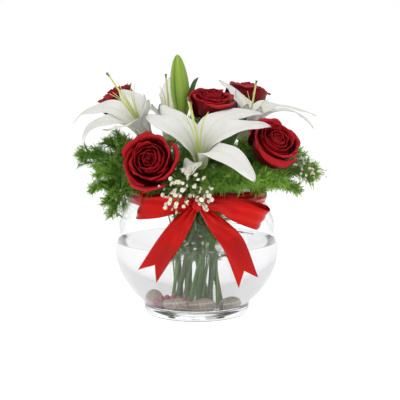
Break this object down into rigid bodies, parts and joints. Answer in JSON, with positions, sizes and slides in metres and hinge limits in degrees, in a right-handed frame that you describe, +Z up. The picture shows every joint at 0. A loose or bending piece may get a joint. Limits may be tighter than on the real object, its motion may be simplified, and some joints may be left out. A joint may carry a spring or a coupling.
{
  "type": "vase of cut flowers",
  "caption": "Round glass bowl vase tied with a red satin bow, holding white lilies, red roses, fern and baby's breath.",
  "frame": {"origin": "centre of the vase's flat underside, on the surface it stands on", "axes": "+Z up, -Y towards the front where the bow is, +X to the right seen from the front"},
  "size_m": [0.2977, 0.2528, 0.3105],
  "materials": {
    "glass": "clear colourless blown glass, smooth and glossy",
    "water": "clear still water, smooth surface",
    "red_satin": "bright red satin ribbon with a soft sheen",
    "lily_white": "matt white petals with a faint green midrib and a green throat",
    "pistil_yellow": "pale yellow-green, matt",
    "stem_green": "mid green plant stem, satin",
    "bud_green": "yellow-green, satin, with darker grooves",
    "rose_red": "velvety crimson, darker at the petal edges",
    "fern_green": "fresh green fern, matt",
    "breath_white": "cream white, matt",
    "shell_pale": "pale beige sea shell, faintly ribbed",
    "bead_red": "dark red pearl beads, glossy"
  },
  "bodies": {
    "root": {"glass_bowl": "glass", "water": "water", "ribbon_neckband": "red_satin", "ribbon_knot": "red_satin", "ribbon_loop_left": "red_satin", "ribbon_loop_right": "red_satin", "ribbon_tail_left": "red_satin", "ribbon_tail_right": "red_satin", "lily_front_tepal_1": "lily_white", "lily_front_tepal_2": "lily_white", "lily_front_tepal_3": "lily_white", "lily_front_tepal_4": "lily_white", "lily_front_tepal_5": "lily_white", "lily_front_tepal_6": "lily_white", "lily_front_stamens": "pistil_yellow", "lily_left_tepal_1": "lily_white", "lily_left_tepal_2": "lily_white", "lily_left_tepal_3": "lily_white", "lily_left_tepal_4": "lily_white", "lily_left_tepal_5": "lily_white", "lily_left_tepal_6": "lily_white", "lily_left_stamens": "pistil_yellow", "lily_back_tepal_1": "lily_white", "lily_back_tepal_2": "lily_white", "lily_back_tepal_3": "lily_white", "lily_back_tepal_4": "lily_white", "lily_back_tepal_5": "lily_white", "lily_back_tepal_6": "lily_white", "lily_back_stamens": "pistil_yellow", "lily_right_tepal_1": "lily_white", "lily_right_tepal_2": "lily_white", "lily_right_tepal_3": "lily_white", "lily_right_tepal_4": "lily_white", "lily_right_tepal_5": "lily_white", "lily_right_tepal_6": "lily_white", "lily_right_stamens": "pistil_yellow", "lily_stem_left": "stem_green", "lily_stem_right": "stem_green", "lily_bud": "bud_green", "rose_front_left": "rose_red", "rose_front_left_stem": "stem_green", "rose_right": "rose_red", "rose_right_stem": "stem_green", "rose_centre": "rose_red", "rose_centre_stem": "stem_green", "rose_back_right": "rose_red", "rose_back_right_stem": "stem_green", "rose_back_left": "rose_red", "rose_back_left_stem": "stem_green", "fern_left": "fern_green", "fern_right": "fern_green", "fern_front": "fern_green", "fern_back": "fern_green", "babys_breath_front": "breath_white", "babys_breath_right": "breath_white", "shell_tall": "shell_pale", "shell_left": "shell_pale", "shell_middle": "shell_pale", "shell_right": "shell_pale", "bead_strand": "bead_red"}
  },
  "joints": []
}
